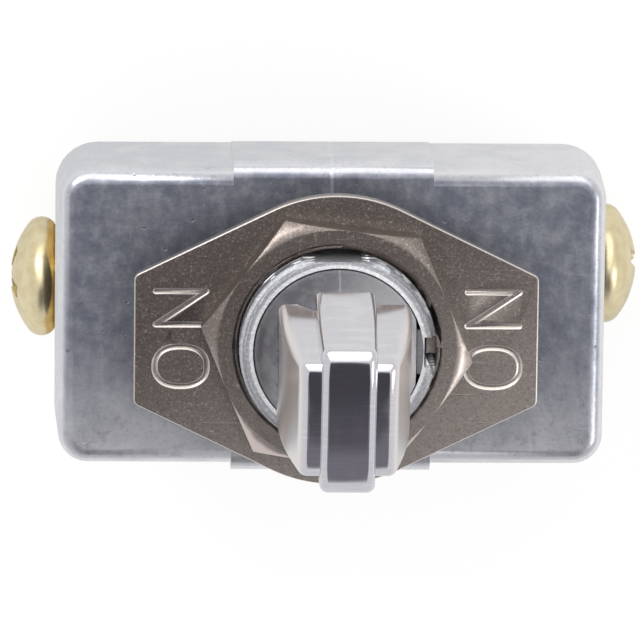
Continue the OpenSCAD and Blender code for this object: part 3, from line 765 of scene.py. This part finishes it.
# %% Stamp the plate
letter_end = 3.0            # where each N ends toward +Y; the word reads along Y
ring_y, ring_half_h = -1.62, 1.22
plate = soften(merged_copy("face_plate", "stamped_plate"), 0.10, 3)
for left, right, low in ((-10.9, -7.85, 0.95), (7.9, 11.05, 0.92)):
    lower = (left, low), (right, low)
    upper = (left, letter_end), (right, letter_end)
    diagonal = (left, low), (right, letter_end)
    for start, end in (lower, upper, diagonal):
        carve(plate, straight_stroke(start, end))
    carve(plate, ring_stroke(((left + right) / 2, ring_y), (right - left) / 2 + 0.05, ring_half_h))
soften(plate, 0)
seat(plate, "case", nickel_plate, "nickel", "face_plate")
print("plate faces:", len(plate.data.polygons))

# %% [markdown]
# ## The nuts
# Each nut gets a fine edge and a thread inside, cut by the same helix as the bushing's
# but with its point outwards.

# %% Cut the nuts
for node, name in (("face_nut", "hex_face_nut"), ("back_nut", "hex_back_nut")):
    nut = soften(merged_copy(node, name), 0.05, 2)
    low, high = (corner.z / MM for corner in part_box(node))
    inner = wind("nut_vee", thread_r - crest_gap + groove_r / 2,
                 low - thread_pitch, high + thread_pitch,
                 (high - low + 2 * thread_pitch) / thread_pitch, groove_r, 3)
    carve(nut, inner)
    soften(nut, 0)
    seat(nut, "case", nickel_plate, "nickel", node)
    print(name, "faces:", len(nut.data.polygons))

# %% [markdown]
# ## The lock washer
# The washer is a ring with a dozen teeth, each twisted a little about its own length so
# that it bites. Instances on a circle of points repeat the tooth, and a new count or
# twist needs one changed number.

# %% Build the toothed washer
def toothed_tree():
    tree, given, add = new_tree("toothed_washer", {
        "Teeth": "Int", "Ring Radius": "Float", "Ring Width": "Float", "Thickness": "Float",
        "Tooth Radius": "Float", "Tooth Size": "Vector", "Twist": "Float",
        "Finish": "Material"})
    circle = add("GeometryNodeCurvePrimitiveCircle", {
        "Resolution": 96, "Radius": given["Ring Radius"]})
    upright = add("GeometryNodeSetCurveNormal", {"Curve": circle.outputs["Curve"]}, mode="Z_UP")
    section = add("GeometryNodeCurvePrimitiveQuadrilateral", {
        "Width": given["Ring Width"], "Height": given["Thickness"]})
    ring = add("GeometryNodeCurveToMesh", {
        "Curve": upright.outputs[0], "Profile Curve": section.outputs[0]})
    places = add("GeometryNodeMeshCircle", {
        "Vertices": given["Teeth"], "Radius": given["Tooth Radius"]})
    tooth = add("GeometryNodeMeshCube", {"Size": given["Tooth Size"]})
    index = add("GeometryNodeInputIndex", {})
    share = add("ShaderNodeMath", {0: index.outputs[0], 1: given["Teeth"]}, operation="DIVIDE")
    angle = add("ShaderNodeMath", {0: share.outputs[0], 1: 2 * math.pi}, operation="MULTIPLY")
    turn = add("ShaderNodeCombineXYZ", {"X": given["Twist"], "Z": angle.outputs[0]})
    teeth = add("GeometryNodeInstanceOnPoints", {
        "Points": places.outputs[0], "Instance": tooth.outputs["Mesh"],
        "Rotation": turn.outputs[0]})
    whole = add("GeometryNodeJoinGeometry", {"Geometry": ring.outputs[0]})
    tree.links.new(teeth.outputs[0], whole.inputs[0])
    real = add("GeometryNodeRealizeInstances", {"Geometry": whole.outputs[0]})
    coated = add("GeometryNodeSetMaterial", {
        "Geometry": real.outputs[0], "Material": given["Finish"]})
    add("NodeGroupOutput", {"Geometry": coated.outputs[0]})
    return tree


washer_low, washer_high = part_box("lock_washer")
washer_r = washer_high.x / MM
washer_t = (washer_high.z - washer_low.z) / MM
ring_w = 1.1
tooth_in, tooth_out = thread_r + 0.08, washer_r - 0.9
tooth_w, tooth_t = 1.5, 0.36
washer = grow("toothed_lock_washer", toothed_tree(), {
    "Teeth": 12, "Ring Radius": (washer_r - ring_w / 2) * MM, "Ring Width": ring_w * MM,
    "Thickness": washer_t * MM, "Tooth Radius": (tooth_in + tooth_out) / 2 * MM,
    "Tooth Size": ((tooth_out - tooth_in) * MM, tooth_w * MM, tooth_t * MM),
    "Twist": math.radians(4.5), "Finish": plated_steel})
washer.data.transform(Matrix.Translation((0, 0, (washer_low.z + washer_high.z) / 2)))
soften(washer, 0)
seat(washer, "case", plated_steel, "steel", "lock_washer")
print("washer box", size_of(washer))

# %% [markdown]
# ## The plunger's spring
# The spring inside the stem is the helix tree again, with a round profile. It leans
# with the lever, so the finished coil is turned into place in its mesh.

# %% Wind the spring
coil_r, wire_r, coil_low, coil_high, coil_turns = 0.95, 0.2, -15.0, -4.2, 9
spring = wind("coil_spring", coil_r, coil_low, coil_high, coil_turns, wire_r, 10,
              steps=28, finish=plated_steel)
spring.data.transform(tilt)
soften(spring, 0)
seat(spring, "lever", plated_steel, "steel", "plunger_spring")
print("spring faces:", len(spring.data.polygons))

# %% [markdown]
# ## Screws, terminals, contacts and base
# The rest are the CAD solids with their edges broken. Pressed brass and the screws have
# an edge of less than a tenth of a millimetre, and the moulded base has a larger one.

# %% Soften and seat the rest
rest_of_switch = [
    ("base", "moulded_base", "case", phenolic, "phenolic", 0.22, 3),
    ("insulator", "fibre_insulator", "case", red_fibre, "fibre", 0.05, 2),
    ("plunger", "nosed_plunger", "plunger", phenolic, "phenolic", 0.06, 2),
    ("rocker", "dished_rocker", "rocker", rocker_copper, "copper", 0.06, 2),
    ("rocker_pin", "pivot_pin", "case", plated_steel, "steel", 0.06, 2),
    ("moving_contact_left", "rocker_button_left", "rocker", contact_silver, "silver", 0.08, 3),
    ("moving_contact_right", "rocker_button_right", "rocker", contact_silver, "silver", 0.08, 3),
    ("left_contact", "fixed_button_left", "case", contact_silver, "silver", 0.08, 3),
    ("right_contact", "fixed_button_right", "case", contact_silver, "silver", 0.08, 3),
    ("common_terminal", "common_terminal_strip", "case", terminal_brass, "brass", 0.06, 2),
    ("left_terminal", "left_terminal_strip", "case", terminal_brass, "brass", 0.06, 2),
    ("right_terminal", "right_terminal_strip", "case", terminal_brass, "brass", 0.06, 2),
    ("left_screw", "left_terminal_screw", "case", screw_brass, "brass", 0.07, 2),
    ("right_screw", "right_terminal_screw", "case", screw_brass, "brass", 0.07, 2),
    ("common_screw", "common_terminal_screw", "case", screw_brass, "brass", 0.07, 2),
    ("left_case_screw", "left_body_screw", "case", plated_steel, "steel", 0.10, 3),
    ("right_case_screw", "right_body_screw", "case", plated_steel, "steel", 0.10, 3),
]
for node, name, body, finish, slot, width, steps in rest_of_switch:
    piece = soften(merged_copy(node, name), width, steps)
    seat(piece, body, finish, slot, node)
    print(f"{name}: {len(piece.data.polygons)} faces")

# %% [markdown]
# ## The floor
# The switch lies on its back on a white table. The table glows a little for the camera
# and in reflections, so that it looks white without more light on the metal, and it
# still takes the switch's shadow.

# %% Lay the floor
def floor_finish():
    floor = Finish("table_white")
    ray = floor.make("ShaderNodeLightPath", output="Is Camera Ray")
    gloss = floor.make("ShaderNodeLightPath", output="Is Glossy Ray")
    grain = floor.noise(floor.coords(), 0.02, 3)
    tone = floor.blend(grain, shade(0.86, 0.86, 0.86), shade(0.90, 0.90, 0.90))
    floor.surface(Base_Color=tone, Roughness=0.9)
    glow = floor.make("ShaderNodeEmission", values={"Color": shade(1, 1, 1), "Strength": 1.12})
    mixed = floor.make("ShaderNodeMixShader", values={
        0: ray * 0.75 + gloss * 0.2, 1: Wire(floor, floor.shader.outputs[0]), 2: glow})
    output = floor.tree.nodes["Material Output"]
    floor.tree.links.new(mixed.socket, output.inputs["Surface"])
    return floor.material


table_reach = 1.5           # in metres, from the middle to an edge
table_z = (base_low - 0.02) * MM
corners = [(x * table_reach, y * table_reach, table_z)
           for x, y in ((-1, -1), (1, -1), (1, 1), (-1, 1))]
table_shape = bpy.data.meshes.new("table")
table_shape.from_pydata(corners, [], [(0, 1, 2, 3)])
table_shape.materials.append(floor_finish())
floor = new_piece("table", table_shape)
print(f"table top at {table_z / MM:.2f} mm")

# %% [markdown]
# ## The room
# Polished metal shows whatever is around it, so the surroundings matter more than the
# lamps. The room is pale, with one bright round patch toward +Y and two overlapping
# dark ones toward -Y. They make the bright band on the lever's nose and its dark tip.
# Only reflections see the patches, and everything else is lit by a plain pale room.

# %% Paint the room
room = bpy.data.worlds.new("room")
bpy.context.scene.world = room
room.use_nodes = True
sky = Finish("room", room.node_tree)
direction = sky.make("ShaderNodeTexCoord", output="Generated")


def patch_around(angle, inner, outer):
    """A soft round patch of the room, centred at an angle from overhead toward +Y."""
    turn = math.radians(angle)
    toward = sky.make("ShaderNodeVectorMath", {"operation": "DOT_PRODUCT"}, {
        0: direction, 1: (0.0, math.sin(turn), math.cos(turn))}, output="Value")
    return sky.step(toward, math.cos(math.radians(outer)), math.cos(math.radians(inner)))


gloss = sky.make("ShaderNodeLightPath", output="Is Glossy Ray")
camera_ray = sky.make("ShaderNodeLightPath", output="Is Camera Ray")
plain = sky.blend(camera_ray, shade(0.72, 0.72, 0.72), shade(1, 1, 1))
mirrored = sky.blend(patch_around(35, 30, 42), shade(0.82, 0.82, 0.84), shade(1.7, 1.7, 1.7))
mirrored = sky.blend(patch_around(-36, 19, 27), mirrored, shade(0.22, 0.21, 0.24))
mirrored = sky.blend(patch_around(-22, 14.5, 19), mirrored, shade(0.075, 0.07, 0.085))
background = room.node_tree.nodes["Background"]
sky.set(background.inputs["Color"], sky.blend(gloss, plain, mirrored))
print("room nodes:", len(room.node_tree.nodes))

# %% [markdown]
# ## The lamps
# Two round soft lamps light the switch: a key from the left of its upper long side, and
# a fill of half the power from the right. Both point at the origin.

# %% Hang the lamps
def lamp(name, place, size, power):
    light = bpy.data.lights.new(name, "AREA")
    light.shape = "DISK"
    light.size = size
    light.energy = power
    stand = new_piece(name, light)
    stand.location = place
    stand.rotation_euler = (-Vector(place)).to_track_quat("-Z", "Y").to_euler()
    print(f"{name}: {power} W")


lamp("key_softbox", (-0.35, 0.45, 0.55), 0.30, 1.6)
lamp("fill_softbox", (0.55, -0.20, 0.45), 0.30, 0.8)

# %% [markdown]
# ## The camera
# The camera looks down the bushing from a little toward its upper long side. It stands
# half a metre off, as a long lens would, so the housing narrows only slightly with
# depth. The lens is worked out from the width of the view at the aim.

# %% Set the camera
toward_camera = Vector((-0.038, 0.2077, 1.0)).normalized()
distance = 0.51
roll = math.radians(0.24)
aim_right, aim_up = -0.745, -0.098
view_width = 0.0391
sensor_width = 36
level = Vector((1, 0, 0)) - toward_camera * toward_camera.x
right = Matrix.Rotation(roll, 3, toward_camera) @ level.normalized()
up = toward_camera.cross(right)
aim = (right * aim_right + up * aim_up) * MM
camera = new_piece("camera", bpy.data.cameras.new("camera"))
bpy.context.scene.camera = camera
camera.matrix_world = Matrix.Translation(aim + toward_camera * distance) @ Matrix(
    (right, up, toward_camera)).transposed().to_4x4()
camera.data.sensor_width = sensor_width
camera.data.lens = sensor_width * distance / view_width
camera.data.clip_start = 0.01
bpy.context.scene.view_settings.view_transform = "Standard"
print("camera at", [round(c, 3) for c in camera.location], "lens", round(camera.data.lens, 1))
